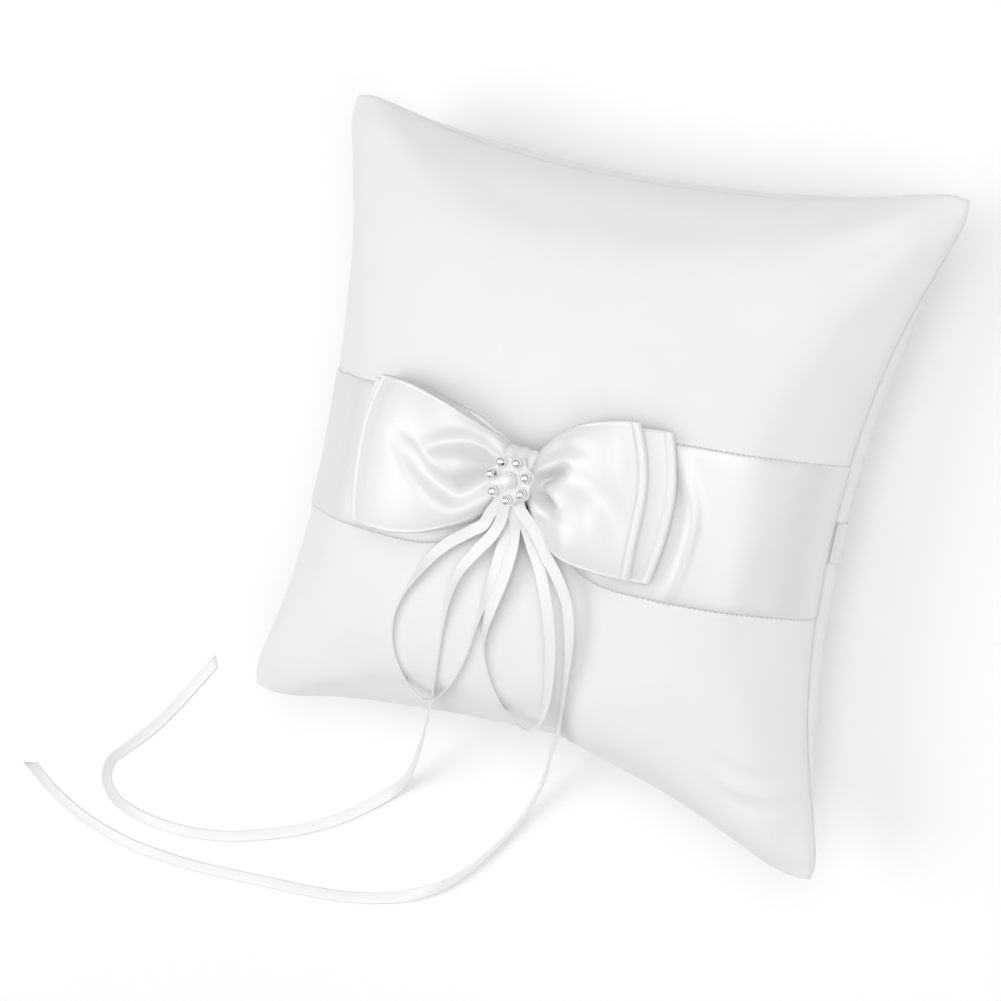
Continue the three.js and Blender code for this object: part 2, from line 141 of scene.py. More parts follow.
def make_world():
    """A plain white sky that is brighter overhead than at the horizon."""
    world = bpy.data.worlds.new("world")
    world.use_nodes = True
    nodes, links = world.node_tree.nodes, world.node_tree.links
    coordinates = nodes.new("ShaderNodeTexCoord")
    split = nodes.new("ShaderNodeSeparateXYZ")
    ramp = nodes.new("ShaderNodeMapRange")
    ramp.inputs["From Min"].default_value = 0.0
    ramp.inputs["From Max"].default_value = OVERHEAD_FROM
    ramp.inputs["To Min"].default_value = SKY_HORIZON
    ramp.inputs["To Max"].default_value = SKY_OVERHEAD
    links.new(coordinates.outputs["Generated"], split.inputs[0])
    links.new(split.outputs["Z"], ramp.inputs["Value"])
    links.new(ramp.outputs["Result"], nodes["Background"].inputs["Strength"])
    nodes["Background"].inputs["Color"].default_value = (1, 1, 1, 1)
    bpy.context.scene.world = world


def make_surroundings():
    for light in LIGHTS:
        area_light(*light)
    make_world()
    bpy.context.scene.view_settings.view_transform = "Standard"
    bpy.ops.mesh.primitive_circle_add(vertices=96, radius=FLOOR_RADIUS, fill_type="NGON")
    floor = bpy.context.object
    floor.name = "floor"
    floor.data.materials.append(plain_material("floor", (0.97, 0.97, 0.97), 0.9, specular=0.1))


# ---- materials ----

def plain_material(name, color, roughness, metallic=0.0, specular=0.5):
    material = bpy.data.materials.new(name)
    material.use_nodes = True
    shader = material.node_tree.nodes["Principled BSDF"]
    shader.inputs["Base Color"].default_value = (*color, 1)
    shader.inputs["Roughness"].default_value = roughness
    shader.inputs["Metallic"].default_value = metallic
    shader.inputs["Specular IOR Level"].default_value = specular
    return material


def vary(material, scale, tint, wear):
    """Uneven colour and gloss: the colour varies by tint of itself, the roughness by wear."""
    nodes, links = material.node_tree.nodes, material.node_tree.links
    shader = nodes["Principled BSDF"]
    color = shader.inputs["Base Color"].default_value[:3]
    roughness = shader.inputs["Roughness"].default_value
    place = nodes.new("ShaderNodeTexCoord")
    patches = nodes.new("ShaderNodeTexNoise")
    patches.inputs["Scale"].default_value = scale
    patches.inputs["Detail"].default_value = 4
    links.new(place.outputs["Object"], patches.inputs["Vector"])
    shade = nodes.new("ShaderNodeValToRGB")
    shade.color_ramp.elements[0].position = 0.3
    shade.color_ramp.elements[1].position = 0.7
    shade.color_ramp.elements[0].color = (*(c * (1 - tint) for c in color), 1)
    shade.color_ramp.elements[1].color = (*(min(1, c * (1 + tint)) for c in color), 1)
    links.new(patches.outputs["Fac"], shade.inputs["Fac"])
    links.new(shade.outputs["Color"], shader.inputs["Base Color"])
    gloss = nodes.new("ShaderNodeMapRange")
    gloss.inputs["To Min"].default_value = roughness - wear
    gloss.inputs["To Max"].default_value = roughness + wear
    links.new(patches.outputs["Fac"], gloss.inputs["Value"])
    links.new(gloss.outputs["Result"], shader.inputs["Roughness"])
    return place, patches


def emboss(material, height, strength, distance):
    nodes, links = material.node_tree.nodes, material.node_tree.links
    bump = nodes.new("ShaderNodeBump")
    bump.inputs["Strength"].default_value = strength
    bump.inputs["Distance"].default_value = distance
    links.new(height, bump.inputs["Height"])
    links.new(bump.outputs["Normal"], nodes["Principled BSDF"].inputs["Normal"])


WAVE_SCALE = 0.314  # scale of a wave texture whose bands are a metre wide
SHEEN_ROUGHNESS = 0.45
WEAVE_DEPTH = 0.08 * MM
GRAIN_DEPTH = 0.05 * MM


def woven_material(name, color, roughness, specular, thread, relief, sheen, index=1.5):
    """Satin: fine floats of thread one way, held by a sparser thread the other way."""
    material = plain_material(name, color, roughness, specular=specular)
    nodes, links = material.node_tree.nodes, material.node_tree.links
    shader = nodes["Principled BSDF"]
    shader.inputs["IOR"].default_value = index
    shader.inputs["Sheen Weight"].default_value = sheen
    shader.inputs["Sheen Roughness"].default_value = SHEEN_ROUGHNESS
    place, _ = vary(material, 45, 0.012, 0.02)
    floats = []
    for direction, size in (("Y", thread), ("X", 2.6 * thread)):
        wave = nodes.new("ShaderNodeTexWave")
        wave.bands_direction = direction
        wave.inputs["Scale"].default_value = WAVE_SCALE / size
        wave.inputs["Distortion"].default_value = 1.2
        wave.inputs["Detail"].default_value = 1.0
        wave.inputs["Detail Scale"].default_value = 2.0
        links.new(place.outputs["Object"], wave.inputs["Vector"])
        floats.append(wave.outputs["Fac"])
    cross = nodes.new("ShaderNodeMath")
    cross.operation = "MULTIPLY"
    links.new(floats[0], cross.inputs[0])
    links.new(floats[1], cross.inputs[1])
    emboss(material, cross.outputs[0], relief, WEAVE_DEPTH)
    return material


def grained_material(name, color, roughness, metallic, scale, relief, tint=0.02, wear=0.03):
    material = plain_material(name, color, roughness, metallic)
    _, grain = vary(material, scale, tint, wear)
    emboss(material, grain.outputs["Fac"], relief, GRAIN_DEPTH)
    return material


def silver_material():
    """Polished silver with small painted black spots: painted reflections of dark surroundings."""
    material = plain_material("silver_bead", (0.93, 0.93, 0.94), 0.07, 1.0)
    _, patches = vary(material, 620, 0.02, 0.02)
    shade = next(n for n in material.node_tree.nodes if n.bl_idname == "ShaderNodeValToRGB")
    # painted reflection: near-black patches stand in for dark surroundings mirrored in the beads
    shade.color_ramp.elements[0].position = 0.35
    shade.color_ramp.elements[0].color = (0.04, 0.04, 0.045, 1)
    shade.color_ramp.elements[1].position = 0.4
    shade.color_ramp.elements[1].color = (0.95, 0.95, 0.955, 1)
    emboss(material, patches.outputs["Fac"], 0.1, GRAIN_DEPTH)
    return material


def pearl_material():
    material = grained_material("pearl", (0.95, 0.945, 0.935), 0.16, 0.0, 300, 0.06)
    shader = material.node_tree.nodes["Principled BSDF"]
    shader.inputs["Coat Weight"].default_value = 0.8
    shader.inputs["Coat Roughness"].default_value = 0.08
    shader.inputs["Sheen Weight"].default_value = 0.3
    return material


def plate_material():
    """Milky moulded plastic, a little clear and sparkling."""
    material = grained_material("cluster_base", (0.95, 0.95, 0.95), 0.14, 0.0, 900, 0.5, 0.05, 0.06)
    shader = material.node_tree.nodes["Principled BSDF"]
    shader.inputs["Transmission Weight"].default_value = 0.08
    shader.inputs["Coat Weight"].default_value = 0.5
    return material


# ---- the pillow's surfaces ----
# u and v run from -1 to 1 over the pillow, from its left to its right and from bottom to top.

def drawn_in(u, top):
    """How far the upper or lower edge is drawn in: 0 at the corners and 1 where it is deepest."""
    span = np.where(u < BOTTOM_KINK, 1 + BOTTOM_KINK, 1 - BOTTOM_KINK)
    bottom = 1 - np.abs((u - BOTTOM_KINK) / span) ** 1.35
    return np.where(top, 1 - u * u, bottom)


def softened(depth):
    """Fades the drawn-in curve out shortly before the corners, which leaves them blunt."""
    depth = (depth - 0.1) / 0.9
    return (depth + np.sqrt(depth * depth + 0.0025)) / 2


def half_height(u, top):
    return HALF - np.where(top, PULL_TOP, PULL_BOTTOM) * softened(drawn_in(u, top))


def plan(u, v):
    """The place in the pillow's plane."""
    side = np.where(u > 0, PULL_RIGHT, PULL_LEFT)
    near = np.abs(u * v)
    blunt = 1 + FLARE * smooth(near, *CORNER_ZONE)
    blunt = blunt - CORNER * np.clip((near - 0.87) / 0.13, 0, 1) ** 2
    return u * (HALF - side * softened(1 - v * v)) * blunt, v * half_height(u, v > 0) * blunt


def swell(u, v):
    """How full the pillow is: 0 at its seams and 1 in its middle."""
    return np.maximum(0, (1 - u * u) * (1 - v * v)) ** EDGE_ROUND


def face_point(u, v):
    x, y = plan(u, v)
    square = x ** 2 + (y - BOW_Y) ** 2
    dimple = DIMPLE_DEPTH * np.exp(-square / DIMPLE_RADIUS ** 2)
    rise = FACE_RISE * swell(u, v) - dimple * smooth(swell(u, v), 0, 0.5)
    return np.stack([x, y, SEAM_Z + rise], -1)


def back_point(u, v):
    """The back swells out a little past the seam before it turns under."""
    x, y = plan(u, v)
    full = swell(u, v)
    side = BACK_BELLY * np.sin(math.pi * np.sqrt(full))
    side = side * (1 - smooth(np.abs(u * v), *CORNER_ZONE))
    z = np.maximum(FLOOR_GAP, SEAM_Z - BACK_RISE * full)
    return np.stack([x * (1 + side), y * (1 + side), z], -1)


def across_at(x):
    """The u of a place that isn't far from the pillow's level middle line."""
    return x / (HALF - 0.97 * np.where(x > 0, PULL_RIGHT, PULL_LEFT))


def grid_line(share):
    """Places from -1 to 1 that lie closer together towards the ends."""
    return 0.3 * share + 0.7 * np.sin(share * math.pi / 2)


def normals_of(surface, u, v, step=0.003):
    """Upward normals of a surface that is given by its points."""
    along = surface(u + step, v) - surface(u - step, v)
    across = surface(u, v + step) - surface(u, v - step)
    normal = np.cross(along, across)
    return normal / np.linalg.norm(normal, axis=-1, keepdims=True)


# ---- curves and creases ----

CURVE_STEPS = 24  # between two given points
CREASE_STEPS = 40  # along a whole crease


def through(points, count):
    """count points, evenly spaced, on a smooth curve through the given ones."""
    points = np.asarray(points, float)
    ends = [2 * points[0] - points[1]], [2 * points[-1] - points[-2]]
    padded = np.concatenate([ends[0], points, ends[1]])
    fine = []
    for i in range(1, len(padded) - 2):
        a, b, c, d = padded[i - 1:i + 3]
        for t in np.linspace(0, 1, CURVE_STEPS, endpoint=False):
            fine.append(0.5 * (2 * b + (c - a) * t + (2 * a - 5 * b + 4 * c - d) * t ** 2
                               + (3 * b - a - 3 * c + d) * t ** 3))
    fine = np.array(fine + [points[-1]])
    steps = np.linalg.norm(np.diff(fine[:, :3], axis=0), axis=1)
    travelled = np.concatenate([[0], np.cumsum(steps)])
    at = np.linspace(0, travelled[-1], count)
    return np.stack([np.interp(at, travelled, fine[:, k]) for k in range(fine.shape[1])], 1)


def near_line(x, y, line, width):
    """How strongly each place lies on a crease, given as (x, y, strength) in millimetres."""
    line = through([(a, b, 0, s) for a, b, s in line], CREASE_STEPS) * (MM, MM, MM, 1)
    result = np.zeros_like(x)
    for (x0, y0, _, s0), (x1, y1, _, s1) in zip(line, line[1:]):
        dx, dy = x1 - x0, y1 - y0
        t = np.clip(((x - x0) * dx + (y - y0) * dy) / (dx * dx + dy * dy), 0, 1)
        square = (x - x0 - t * dx) ** 2 + (y - y0 - t * dy) ** 2
        result = np.maximum(result, blend(s0, s1, t) * np.exp(-square / width ** 2))
    return result


# ---- meshes ----

def grid_faces(wide, tall, flip=False):
    i, j = np.meshgrid(np.arange(wide - 1), np.arange(tall - 1))
    corner = (j * wide + i).ravel()
    faces = np.stack([corner, corner + 1, corner + wide + 1, corner + wide], 1)
    return faces[:, ::-1] if flip else faces


def mesh_object(name, points, faces, material=None):
    mesh = bpy.data.meshes.new(name)
    mesh.from_pydata(np.asarray(points).tolist(), [], np.asarray(faces).tolist())
    mesh.polygons.foreach_set("use_smooth", [True] * len(mesh.polygons))
    mesh.update()
    piece = bpy.data.objects.new(name, mesh)
    bpy.context.collection.objects.link(piece)
    if material:
        mesh.materials.append(material)
    return piece


def grid_object(name, points, material, flip=False):
    tall, wide = points.shape[:2]
    return mesh_object(name, points.reshape(-1, 3), grid_faces(wide, tall, flip), material)


def wrapped(name, x, y, z, material):
    """A band closed round its axis, from one row for each place along it."""
    along, around = x.shape
    faces = grid_faces(around + 1, along, True)
    row, column = np.divmod(faces, around + 1)
    points = np.stack([x, y, z], -1).reshape(-1, 3)
    return mesh_object(name, points, row * around + column % around, material)


def spun(name, points, material):
    """A shape closed round an upright axis, from one row of points for each spoke."""
    spokes, wide = points.shape[:2]
    row, column = np.divmod(grid_faces(wide, spokes + 1), wide)
    faces = (row % spokes) * wide + column
    return mesh_object(name, points.reshape(-1, 3), faces[:, ::-1], material)


def middle_of(node):
    low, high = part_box(node)
    return np.array([(a + b) / 2 for a, b in zip(low, high)])


def subdivide(piece):
    modifier = piece.modifiers.new("rounded", "SUBSURF")
    modifier.levels = 1
    modifier.render_levels = 1
    modifier.boundary_smooth = "PRESERVE_CORNERS"


def thicken(piece, thickness, offset):
    modifier = piece.modifiers.new("thickness", "SOLIDIFY")
    modifier.thickness = thickness
    modifier.offset = offset
    modifier.use_even_offset = False


def belong(piece, slot, *nodes):
    """The piece rides on the pillow and stands in for the CAD nodes, which it hides. slot is not
    used.
    """
    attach(piece, "root")
    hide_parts(*nodes)


# ---- cover ----

COVER_CELLS = 96
PUCKER = 0.11 * MM  # height of the waves along the seams
CLOTH_FRAMES = 20
EVENING_ROUNDS = 12
TACK_RADIUS = 9 * MM  # where the bow is tacked, the cover can't move
LEAST_MOVE, MOST_MOVE = 0.3 * MM, 1.1 * MM  # limits beside the bow and away from it
BOW_EDGE = 26 * MM, 60 * MM  # distances from the bow between which the limit grows
FACE_VALLEYS = [  # (line, depth, width): two drawn in by the tacked bow, then corner wrinkles
    ([(0, 9, 1), (-4, 22, 0.7), (-8, 36, 0.2), (-10, 44, 0)], 1.0 * MM, 6.5 * MM),
    ([(8, -14, 0.4), (15, -20, 0.7), (20, -30, 0.9), (22, -44, 1), (18, -58, 1), (12.5, -70, 1)],
     1.4 * MM, 6.5 * MM),
    ([(56, -55, 0), (62, -59.5, 0.8), (69, -60.5, 1), (76, -60, 0.7), (81, -59, 0)],
     0.9 * MM, 2.0 * MM),
    ([(59, -58.5, 0), (63.5, -62.8, 1), (67, -64, 1), (72, -63.8, 1), (77, -63.4, 0.8),
      (82, -63, 0.3)], -0.8 * MM, 1.6 * MM),
    ([(60, -64, 0), (66, -67.4, 1), (73, -67.2, 1), (79, -66.5, 0.3)], 0.7 * MM, 2.2 * MM),
    ([(-76, 78, 0.3), (-68, 70, 1), (-60, 60, 0)], 0.8 * MM, 2.5 * MM),
    ([(77, 77, 0.3), (68, 70, 1), (58, 62, 0)], 0.8 * MM, 2.6 * MM),
]


def pucker(u, v):
    """Small waves where the cloth is gathered along its seams."""
    result = np.zeros_like(u)
    for near, along in ((u, v), (v, u)):
        distance = (1 - np.abs(near)) * HALF
        place = along * HALF / (7.5 * MM) + 0.9 * np.sin(along * 11 + near)
        wave = np.sin(place * 2 * math.pi) * (0.55 + 0.45 * np.sin(along * 23 + 2 * near))
        result += wave * smooth(distance, 0, 1.5 * MM) * np.exp(-(distance / (5 * MM)) ** 2)
    return result


def cover_start():
    """The cover's two panels before the stuffing pushes them out."""
    lines = grid_line(np.linspace(-1, 1, COVER_CELLS + 1))
    u, v = np.meshgrid(lines, lines)
    face, back = face_point(u, v), back_point(u, v)
    for line, depth, width in FACE_VALLEYS:
        face[..., 2] -= depth * near_line(face[..., 0], face[..., 1], line, width)
    wave = (PUCKER * pucker(u, v))[..., None]
    inner = 0.995 * u, 0.995 * v
    face += wave * normals_of(face_point, *inner)
    back -= wave * normals_of(back_point, *inner)
    return u, v, face, back


def inflate(points, faces, pinned, limit):
    """Cloth, a little too large for its shape, blown up from inside. Moves of each point are
    kept under its own limit."""
    piece = mesh_object("blown", points, faces)
    group = piece.vertex_groups.new(name="pinned")
    group.add(np.flatnonzero(pinned).tolist(), 1.0, "REPLACE")
    modifier = piece.modifiers.new("cloth", "CLOTH")
    cloth = modifier.settings
    cloth.quality = 6
    cloth.mass = 0.15
    cloth.tension_stiffness = 12
    cloth.compression_stiffness = 12
    cloth.shear_stiffness = 4
    cloth.bending_stiffness = 0.3
    cloth.vertex_group_mass = "pinned"
    cloth.shrink_min = -0.02
    cloth.use_pressure = True
    cloth.uniform_pressure_force = 4
    cloth.effector_weights.gravity = 0
    modifier.collision_settings.use_collision = False
    scene = bpy.context.scene
    for step in range(1, CLOTH_FRAMES + 1):
        scene.frame_set(step)
    evaluated = piece.evaluated_get(bpy.context.evaluated_depsgraph_get())
    moved = np.zeros(len(points) * 3)
    evaluated.data.vertices.foreach_get("co", moved)
    shift = moved.reshape(-1, 3) - points
    size = np.linalg.norm(shift, axis=1)
    shift *= np.minimum(1, limit / np.maximum(size, 1e-9))[:, None]
    bpy.data.objects.remove(piece)
    scene.frame_set(1)
    return points + evened(shift, faces, pinned)


def evened(shift, faces, pinned):
    """The moves, averaged with those of their neighbours several times over."""
    ends = np.concatenate([faces[:, [0, 1]], faces[:, [1, 2]], faces[:, [2, 3]], faces[:, [3, 0]]])
    ends = np.concatenate([ends, ends[:, ::-1]])
    degree = np.bincount(ends[:, 0], minlength=len(shift))[:, None]
    for _ in range(EVENING_ROUNDS):
        total = np.stack([np.bincount(ends[:, 0], shift[ends[:, 1], k], len(shift))
                          for k in range(3)], 1)
        shift = np.where(pinned[:, None], shift, (shift + total / degree) / 2)
    return shift


def make_cover(material):
    u, v, face, back = cover_start()
    count = COVER_CELLS + 1
    inside = ((abs(u) < 1) & (abs(v) < 1)).ravel()
    own = np.arange(count * count)
    back_index = np.where(inside, count * count + np.cumsum(inside) - 1, own)
    points = np.concatenate([face.reshape(-1, 3), back.reshape(-1, 3)[inside]])
    front_faces = grid_faces(count, count)
    back_faces = back_index[grid_faces(count, count, True)]
    flat = points[:, 2] < 2 * FLOOR_GAP
    reach = np.hypot(points[:, 0], points[:, 1] - BOW_Y)
    tacked = (reach < TACK_RADIUS) & (points[:, 2] > SEAM_Z)
    pinned = np.concatenate([~inside, np.zeros(inside.sum(), bool)]) | flat | tacked
    limit = blend(LEAST_MOVE, MOST_MOVE, smooth(reach, *BOW_EDGE))
    points = inflate(points, np.concatenate([front_faces, back_faces]), pinned, limit)
    points[:, 2] = np.maximum(points[:, 2], FLOOR_GAP)
    seam = np.flatnonzero(~inside)
    tight = blend(SEAM_PULL, CORNER_PULL, smooth(np.abs(u * v).ravel()[seam], 0.5, 0.9))
    points[seam, :2] *= 1 - (tight / np.linalg.norm(points[seam, :2], axis=1))[:, None]
    front = mesh_object("front_cover", points[:count * count], front_faces, material)
    rear = mesh_object("back_cover", points[back_index], grid_faces(count, count, True), material)
    for piece, node in ((front, "front_panel"), (rear, "back_panel")):
        subdivide(piece)
        thicken(piece, COVER_THICKNESS, -1)
        belong(piece, "cover_satin", node)
    return front, rear


FILL_CELLS = 48
FILL_WIDTH, FILL_HEIGHT = 0.93, 0.84  # size of the stuffing as a share of the cover's


def make_stuffing(material):
    """Lumpy fibre that fills the cover."""
    count = FILL_CELLS + 1
    lines = grid_line(np.linspace(-1, 1, count))
    u, v = np.meshgrid(lines, lines)
    sheets = []
    for surface, phase in ((face_point, 0.0), (back_point, 1.3)):
        points = surface(u, v) * (FILL_WIDTH, FILL_WIDTH, 1)
        lump = np.sin(u * 17 + 2 * np.sin(v * 9 + phase)) * np.sin(v * 15 + 2 * np.sin(u * 8))
        rise = (points[..., 2] - SEAM_Z) * (FILL_HEIGHT + 0.04 * lump)
        points[..., 2] = SEAM_Z + rise
        sheets.append(points.reshape(-1, 3))
    faces = np.concatenate([grid_faces(count, count),
                            grid_faces(count, count, True) + count * count])
    fill = mesh_object("fibre_fill", np.concatenate(sheets), faces, material)
    belong(fill, "fibre_fill", "stuffing")


def surface_tree(piece):
    graph = bpy.context.evaluated_depsgraph_get()
    return BVHTree.FromObject(piece, graph)


SEARCH_FROM, SEARCH_LENGTH = 12 * MM, 30 * MM  # for the surface under a ribbon


def laid_on(tree, points, normals, lift):
    """The points moved along their normals until they lie lift above the surface."""
    result = points.copy()
    flat, directions = result.reshape(-1, 3), normals.reshape(-1, 3)
    for i, (point, normal) in enumerate(zip(flat, directions)):
        normal = Vector(normal)
        start = Vector(point) + normal * SEARCH_FROM
        hit, _, _, _ = tree.ray_cast(start, -normal, SEARCH_LENGTH)
        if hit is not None:
            flat[i] = hit + normal * lift
    return result


# ---- wide band and hand strap ----

PICOT = 1.3 * MM  # spacing of the tiny loops along the wide ribbon's edges
PICOT_HEIGHT = 0.4 * MM
RIBBON_END = 0.9995  # u at the ends of the band and the strap, close to the side seams
BAND_ROWS, BAND_STEPS = 20, 620  # across and along
STRAP_ROWS, STRAP_STEPS = 8, 300
BAND_EDGE, STRAP_EDGE, LOOP_EDGE = 0.045, 0.1, 0.04  # woven edge, as a share of the half width
BAND_LIFT, BAND_GAP, EDGE_LIFT = 0.28 * MM, 0.12 * MM, -0.08 * MM  # usual, least, at the edges
STRAP_LIFT = 0.3 * MM
STRAP_SLACK = 0.5 * MM  # how much further the strap stands off shortly before its ends
STRAP_SUNK = 0.25 * MM  # how much nearer to the cover the strap's very ends lie


def edge_rows(count, margin):
    """Places from -1 to 1 across a ribbon, with three more rows close to each woven edge."""
    inner = np.linspace(-1 + margin, 1 - margin, count)
    close = 1 - margin * np.array([0.75, 0.45, 0.0])
    return np.concatenate([-close[::-1], inner, close])


def selvedge(along, across, margin, period):
    """The beaded cord of a woven edge, as a height from 0 to 1."""
    edge = np.exp(-((1 - margin * 0.45 - np.abs(across)) / (margin * 0.35)) ** 2)
    return edge * (0.35 + 0.65 * np.abs(np.sin(along * math.pi / period)))


def distance_along(points):
    """Distance from a ribbon's start, measured along its middle."""
    steps = np.linalg.norm(np.diff(points, axis=1, prepend=points[:, :1]), axis=2)
    middle = np.cumsum(steps, 1)[len(points) // 2]
    return np.broadcast_to(middle, points.shape[:2])


BAND_FOLD = [  # a soft ridge in the band beside the right-hand loops: (x, y, strength)
    (38, 13.4, 0.4), (40.7, 8.4, 0.8), (43.9, 1.1, 1), (44.1, -6.7, 1), (42.7, -17.1, 0.8),
    (40.5, -21.4, 0.4),
]
FOLD_HEIGHT, FOLD_WIDTH = 0.9 * MM, 1.6 * MM


def make_band(tree, material):
    line = RIBBON_END * grid_line(np.linspace(-1, 1, BAND_STEPS))
    w, u = np.meshgrid(edge_rows(BAND_ROWS, BAND_EDGE), line, indexing="ij")
    gather = np.exp(-(u * HALF / GATHER_SPREAD) ** 2)
    y = BAND_Y + BAND_SLOPE * u * HALF + GATHER_SHIFT * gather
    y = y + w * (BAND_WIDTH / 2 - GATHER_DEPTH * gather)
    v = y / half_height(u, y > 0)
    points = face_point(u, v)
    normals = normals_of(face_point, u, v)
    found = laid_on(tree, points, normals, 0)
    height = ((found - points) * normals).sum(-1)
    outer = smooth(np.abs(w), 0.94, 1.0)
    lowest = height + blend(BAND_GAP, EDGE_LIFT, outer)
    for _ in range(120):  # the ribbon spans the cover's small hollows
        height[:, 1:-1] = (height[:, :-2] + 2 * height[:, 1:-1] + height[:, 2:]) / 4
    for _ in range(3):
        height[1:-1] = (height[:-2] + 2 * height[1:-1] + height[2:]) / 4
    height += FOLD_HEIGHT * near_line(points[..., 0], points[..., 1], BAND_FOLD, FOLD_WIDTH)
    height = np.maximum(height + blend(BAND_LIFT, EDGE_LIFT, outer), lowest)
    points += normals * height[..., None]
    points[..., 2] += gather * 0.5 * MM * (1 + np.cos(w * 9.5 + 0.03 * u * HALF / MM))
    along = distance_along(points)
    points += normals * (0.1 * MM * selvedge(along, w, BAND_EDGE, PICOT))[..., None]
    loops = PICOT_HEIGHT * np.abs(np.sin(along * math.pi / PICOT)) * (np.abs(w) > 0.999)
    points[..., 1] += np.sign(w) * loops
    band = grid_object("wide_band", points, material)
    thicken(band, THIN_RIBBON, 1)
    belong(band, "ribbon_satin", "satin_band")


def make_strap(tree, material):
    line = RIBBON_END * grid_line(np.linspace(-1, 1, STRAP_STEPS))
    w, u = np.meshgrid(edge_rows(STRAP_ROWS, STRAP_EDGE), line, indexing="ij")
    y = STRAP_Y + w * STRAP_WIDTH / 2
    v = y / half_height(u, y > 0)
    points = back_point(u, v)
    normals = -normals_of(back_point, u, v)
    turned_in = smooth(np.abs(u), 0.99, RIBBON_END)  # the ends turn in towards the seams
    points[..., 0] -= np.sign(u) * SEAM_PULL * turned_in
    slack = STRAP_SLACK * smooth(np.abs(u), 0.86, 0.95) * (1 - smooth(np.abs(u), 0.97, 1.0))
    points = laid_on(tree, points, normals, STRAP_LIFT)
    points += normals * (slack * (1 - w ** 4))[..., None]
    points -= normals * (STRAP_SUNK * turned_in)[..., None]
    points[..., 2] = np.maximum(points[..., 2], 0.15 * MM)
    points[:, [0, -1], 2] = SEAM_Z - 0.1 * MM
    along = distance_along(points)
    points += normals * (0.15 * MM * selvedge(along, w, STRAP_EDGE, 1.0 * MM))[..., None]
    strap = grid_object("hand_strap_ribbon", points, material, flip=True)
    thicken(strap, STRAP_THICKNESS, 0)
    belong(strap, "ribbon_satin", "hand_strap")


# ---- bow ----

NECK_START = 1.3 * MM  # distance out where a loop begins
NECK_ZONE = 5 * MM, 14 * MM  # distances out between which a loop leaves its neck
FOLD_RADIUS = 0.5 * MM
LAYER_GAP = 0.5 * MM  # least distance between two layers
TURN_FROM, TURN_SPAN = 0.47, 0.06  # part of a loop's length that goes round the fold
UNDER_WIDTH, UNDER_SHIFT = 0.965, 0.8 * MM  # under loops: narrower, and further down the face
LIP_HEIGHT, LIP_WIDTH, LIP_AT = 0.35 * MM, 0.35 * MM, 1.5 * MM  # groove behind the fold's lip
EDGE_CORD = 0.3 * MM  # height of the cord along a loop's woven edges
CENTRE_Z = SEAM_Z + FACE_RISE - DIMPLE_DEPTH
REACH = {"left": (50 * MM, 47.5 * MM), "right": (39.8 * MM, 34 * MM)}  # under and top loops
OUTLINE = {  # (distance out, half width) in millimetres of each loop's upper and lower edge
    "left": ([(1.3, 6.2), (3, 6.6), (5, 7.4), (9.3, 9.6), (15, 12.4), (20.2, 15.1), (25.5, 17),
              (31.6, 18.6), (38, 19.3), (50, 19.4)],
             [(1.3, 6), (3, 6.2), (5, 7.4), (10.3, 11.6), (15.1, 14.6), (22.3, 17.7),
              (29.7, 19.2), (36, 19.6), (50, 19.8)]),
    "right": ([(1.3, 6.4), (2.6, 7), (4.3, 9), (6.4, 11.3), (8.9, 13.2), (15.1, 16.5),
               (23.6, 18.8), (30, 19.4), (40, 19.5)],
              [(1.3, 6.2), (2.6, 6.6), (4.3, 8.6), (7.1, 11.9), (11, 14.4), (15.2, 16),
               (21.3, 17.3), (33, 19), (40, 19.2)]),
}
END_CURVE = {  # how far a fold's upper and lower corner fall short of its middle
    "left": ((2.0 * MM, 1.7 * MM), (3.6 * MM, 1.2 * MM)),
    "right": ((4.0 * MM, 2.3 * MM), (5.2 * MM, 0.4 * MM)),
}
CREASES = {  # (line, depth, width) on the top loops
    "left": [
        ([(-4.5, -2.4, 0.6), (-7, -2.6, 0.9), (-10.4, -5, 1), (-14.8, -8.6, 1), (-18.7, -7.6, 1),
          (-24, -4.3, 0.9), (-28.9, -0.4, 0.6), (-34, 2.6, 0)], 3.9 * MM, 2.7 * MM),
        ([(-4.5, 0.8, 0.8), (-8.5, 2.9, 1), (-12.5, 4.5, 1), (-16.3, 4.9, 0.9),
          (-20.9, 3.3, 0.6), (-24.5, 0.6, 0)], 3.3 * MM, 2.3 * MM),
    ],
    "right": [
        ([(4.5, -0.5, 1), (6.2, 0.2, 1), (9, 1.9, 1), (11.7, 3.9, 0.8), (14.5, 5.6, 0)],
         5.2 * MM, 1.45 * MM),
        ([(4.5, -2.3, 1), (6.2, -2.5, 1), (9, -3.6, 1), (11.7, -4.9, 0.7), (14, -6.2, 0)],
         5.2 * MM, 1.35 * MM),
        ([(12, 2.2, 0), (16, 2.6, 0.6), (21, 2.2, 0.9), (25.5, 0, 1), (28.2, -4.5, 0.9),
          (28.6, -10.5, 0.4)], 1.4 * MM, 3.4 * MM),
        ([(6, -9.6, 0.3), (9.5, -10.2, 0.7), (13, -11.8, 0.6), (16, -14.5, 0)],
         1.0 * MM, 2.2 * MM),
        ([(5, 5, 0.6), (9, 8.4, 0.8), (14, 10.4, 0.6), (20, 11, 0)], 1.3 * MM, 2.0 * MM),
    ],
}
BULGES = {  # (x, y, height, radius) in millimetres, on the top loops
    "left": [(-15.5, -1.2, 1.8, 4.2), (-22, -2, 0.9, 4), (-9.5, -9.5, 1.0, 3.4)],
    "right": [(18.5, -11, 2.4, 9.4), (12, -0.9, 1.6, 2.8), (8.8, -6.8, 1.1, 2.8),
              (12, 6.6, 1.0, 4.2)],
}


def bow_base(x, y):
    """Height that the loops are measured from: level beside the knot, then the face itself."""
    u = across_at(x)
    face = face_point(u, y / half_height(u, y > 0))[..., 2]
    return blend(CENTRE_Z, face, smooth(np.abs(x), *NECK_ZONE))


